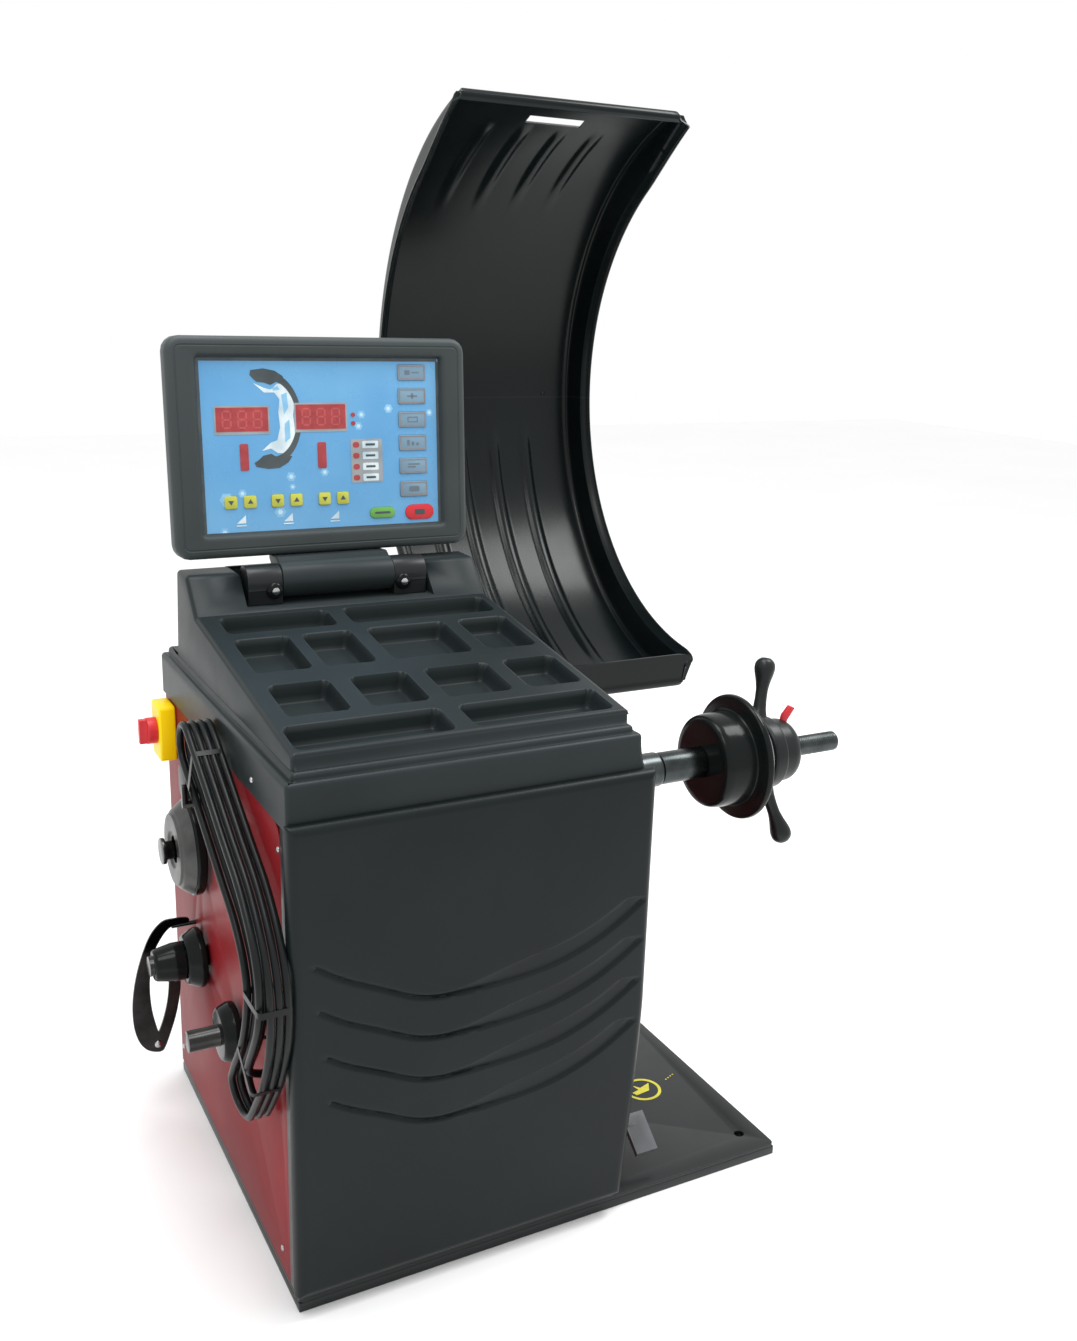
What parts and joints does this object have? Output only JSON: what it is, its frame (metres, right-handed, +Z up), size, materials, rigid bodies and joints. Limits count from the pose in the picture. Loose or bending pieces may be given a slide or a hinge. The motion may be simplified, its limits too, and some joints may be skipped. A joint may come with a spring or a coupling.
{
  "type": "wheel balancer machine",
  "caption": "Cabinet with a horizontal spindle and quick nut, a tilting display, a pocketed weight tray, a swing-over wheel guard, hung cones and a foot brake.",
  "frame": {"origin": "on the floor, under the middle of the cabinet, on the underside of the base frame", "axes": "+X right along the spindle, +Y to the back, +Z up"},
  "size_m": [1.262, 1.3533, 1.8794],
  "materials": {
    "black_plastic": "fine-grained moulded ABS, satin",
    "black_paint": "semi-gloss black powder coat",
    "red_paint": "gloss red paint",
    "bright_steel": "turned and polished",
    "dark_steel": "blackened, polished",
    "black_enamel": "gloss black enamel",
    "cast_iron": "grey paint",
    "rubber": "smooth black",
    "panel_film": "printed blue film",
    "grey_key": "raised film key",
    "yellow_plastic": "yellow",
    "green_plastic": "green",
    "red_plastic": "red",
    "board": "green board with parts"
  },
  "bodies": {
    "machine": {"base_frame": "black_paint", "base_plate": "black_paint", "cabinet_body": "black_paint", "side_panel_left": "red_paint", "side_panel_right": "red_paint", "rear_panel": "black_paint", "front_panel": "black_plastic", "weight_tray": "black_plastic", "tray_row_1": "black_plastic", "tray_row_2": "black_plastic", "tray_row_3": "black_plastic", "tray_row_4": "black_plastic", "support_pedestal": "cast_iron", "spindle_housing": "dark_steel", "bearing_front": "bright_steel", "bearing_rear": "bright_steel", "motor": "cast_iron", "drive_belt": "rubber", "power_board": "board", "display_hinge_mount": "black_paint", "hood_pivot_bracket": "black_paint", "isolator_box": "yellow_plastic", "peg_plate": "dark_steel", "cable_gland": "black_plastic", "mains_plug": "rubber", "mains_lead_hank": "rubber"},
    "spindle": {"spindle_shaft": "bright_steel", "bell_flange": "black_enamel", "driven_pulley": "cast_iron"},
    "quick_nut": {"nut_body": "black_paint", "nut_handles": "black_paint", "pressure_ring": "bright_steel"},
    "release_lever": {"nut_release_lever": "red_plastic"},
    "motor_rotor": {"motor_pulley": "bright_steel"},
    "hood": {"hood_upper": "black_plastic", "hood_lower": "black_plastic", "hood_arm": "black_paint"},
    "display": {"display_bezel": "black_plastic", "display_back": "black_plastic", "display_panel": "panel_film", "display_hinge_arm": "black_plastic"},
    "isolator": {"isolator_knob": "red_plastic"},
    "large_cone": {"cone_large": "black_enamel"},
    "medium_cone": {"cone_medium": "black_enamel"},
    "small_cone": {"cone_small": "black_enamel"},
    "shallow_cone": {"cone_shallow": "black_enamel"},
    "caliper": {"caliper_arm_outer": "dark_steel"},
    "caliper_jaw": {"caliper_arm_inner": "dark_steel"},
    "brake_pedal": {"foot_pedal": "cast_iron"},
    "function_key_1_body": {"function_key_1": "grey_key"},
    "function_key_2_body": {"function_key_2": "grey_key"},
    "function_key_3_body": {"function_key_3": "grey_key"},
    "function_key_4_body": {"function_key_4": "grey_key"},
    "function_key_5_body": {"function_key_5": "grey_key"},
    "function_key_6_body": {"function_key_6": "grey_key"},
    "adjust_key_1_body": {"adjust_key_1": "yellow_plastic"},
    "adjust_key_2_body": {"adjust_key_2": "yellow_plastic"},
    "adjust_key_3_body": {"adjust_key_3": "yellow_plastic"},
    "start_key_body": {"start_key": "green_plastic"},
    "stop_key_body": {"stop_key": "red_plastic"}
  },
  "joints": [
    {"name": "spindle_turn", "type": "hinge", "parent": "machine", "child": "spindle", "pos_m": [0, -0.2, 0.714], "axis": [1, 0, 0], "continuous": true},
    {"name": "nut_slide", "type": "slide", "parent": "spindle", "child": "quick_nut", "axis": [1, 0, 0], "range_m": [0, 0.15]},
    {"name": "release_press", "type": "hinge", "parent": "quick_nut", "child": "release_lever", "pos_m": [0.698, -0.2, 0.762], "axis": [0, -1, 0], "range_deg": [0, 8], "stiffness_Nm_per_rad": 0.5, "springref_deg": -11.46},
    {"name": "motor_turn", "type": "hinge", "parent": "machine", "child": "motor_rotor", "pos_m": [0, -0.02, 0.48], "axis": [1, 0, 0], "continuous": true},
    {"name": "hood_swing", "type": "hinge", "parent": "machine", "child": "hood", "pos_m": [0, 0.4, 0.694], "axis": [1, 0, 0], "range_deg": [0, 78]},
    {"name": "display_tilt", "type": "hinge", "parent": "machine", "child": "display", "pos_m": [0, 0.222, 1.003], "axis": [1, 0, 0], "range_deg": [-8, 20]},
    {"name": "function_key_1_press", "type": "slide", "parent": "display", "child": "function_key_1_body", "axis": [0, 0.9976, -0.0698], "range_m": [0, 0.0008], "stiffness_N_per_m": 400, "springref_m": -0.002},
    {"name": "function_key_2_press", "type": "slide", "parent": "display", "child": "function_key_2_body", "axis": [0, 0.9976, -0.0698], "range_m": [0, 0.0008], "stiffness_N_per_m": 400, "springref_m": -0.002},
    {"name": "function_key_3_press", "type": "slide", "parent": "display", "child": "function_key_3_body", "axis": [0, 0.9976, -0.0698], "range_m": [0, 0.0008], "stiffness_N_per_m": 400, "springref_m": -0.002},
    {"name": "function_key_4_press", "type": "slide", "parent": "display", "child": "function_key_4_body", "axis": [0, 0.9976, -0.0698], "range_m": [0, 0.0008], "stiffness_N_per_m": 400, "springref_m": -0.002},
    {"name": "function_key_5_press", "type": "slide", "parent": "display", "child": "function_key_5_body", "axis": [0, 0.9976, -0.0698], "range_m": [0, 0.0008], "stiffness_N_per_m": 400, "springref_m": -0.002},
    {"name": "function_key_6_press", "type": "slide", "parent": "display", "child": "function_key_6_body", "axis": [0, 0.9976, -0.0698], "range_m": [0, 0.0008], "stiffness_N_per_m": 400, "springref_m": -0.002},
    {"name": "start_key_press", "type": "slide", "parent": "display", "child": "start_key_body", "axis": [0, 0.9976, -0.0698], "range_m": [0, 0.0008], "stiffness_N_per_m": 400, "springref_m": -0.002},
    {"name": "stop_key_press", "type": "slide", "parent": "display", "child": "stop_key_body", "axis": [0, 0.9976, -0.0698], "range_m": [0, 0.0008], "stiffness_N_per_m": 400, "springref_m": -0.002},
    {"name": "adjust_key_1_rock", "type": "hinge", "parent": "display", "child": "adjust_key_1_body", "pos_m": [-0.154, 0.26932, 1.13502], "axis": [0, 0.0698, 0.9976], "range_deg": [-1.5, 1.5], "stiffness_Nm_per_rad": 0.1},
    {"name": "adjust_key_2_rock", "type": "hinge", "parent": "display", "child": "adjust_key_2_body", "pos_m": [-0.071, 0.26932, 1.13502], "axis": [0, 0.0698, 0.9976], "range_deg": [-1.5, 1.5], "stiffness_Nm_per_rad": 0.1},
    {"name": "adjust_key_3_rock", "type": "hinge", "parent": "display", "child": "adjust_key_3_body", "pos_m": [0.015, 0.26932, 1.13502], "axis": [0, 0.0698, 0.9976], "range_deg": [-1.5, 1.5], "stiffness_Nm_per_rad": 0.1},
    {"name": "isolator_turn", "type": "hinge", "parent": "machine", "child": "isolator", "pos_m": [-0.32, 0.3225, 0.722], "axis": [-1, 0, 0], "range_deg": [0, 90]},
    {"name": "large_cone_off", "type": "slide", "parent": "machine", "child": "large_cone", "axis": [-1, 0, 0], "range_m": [0, 0.1]},
    {"name": "medium_cone_off", "type": "slide", "parent": "machine", "child": "medium_cone", "axis": [-1, 0, 0], "range_m": [0, 0.1]},
    {"name": "small_cone_off", "type": "slide", "parent": "medium_cone", "child": "small_cone", "axis": [-1, 0, 0], "range_m": [0, 0.07]},
    {"name": "shallow_cone_off", "type": "slide", "parent": "machine", "child": "shallow_cone", "axis": [-1, 0, 0], "range_m": [0, 0.1]},
    {"name": "caliper_lift", "type": "slide", "parent": "machine", "child": "caliper", "axis": [0, 0, 1], "range_m": [0, 0.05]},
    {"name": "caliper_open", "type": "hinge", "parent": "caliper", "child": "caliper_jaw", "pos_m": [-0.352, 0.204, 0.165], "axis": [0, 1, 0], "range_deg": [-15, 8]},
    {"name": "pedal_press", "type": "hinge", "parent": "machine", "child": "brake_pedal", "pos_m": [0.3, -0.2, 0.09], "axis": [1, 0, 0], "range_deg": [0, 10], "stiffness_Nm_per_rad": 6, "springref_deg": -11.46}
  ],
  "couplings": [
    {"joint": "motor_turn", "follows": "spindle_turn", "ratio": 3}
  ]
}
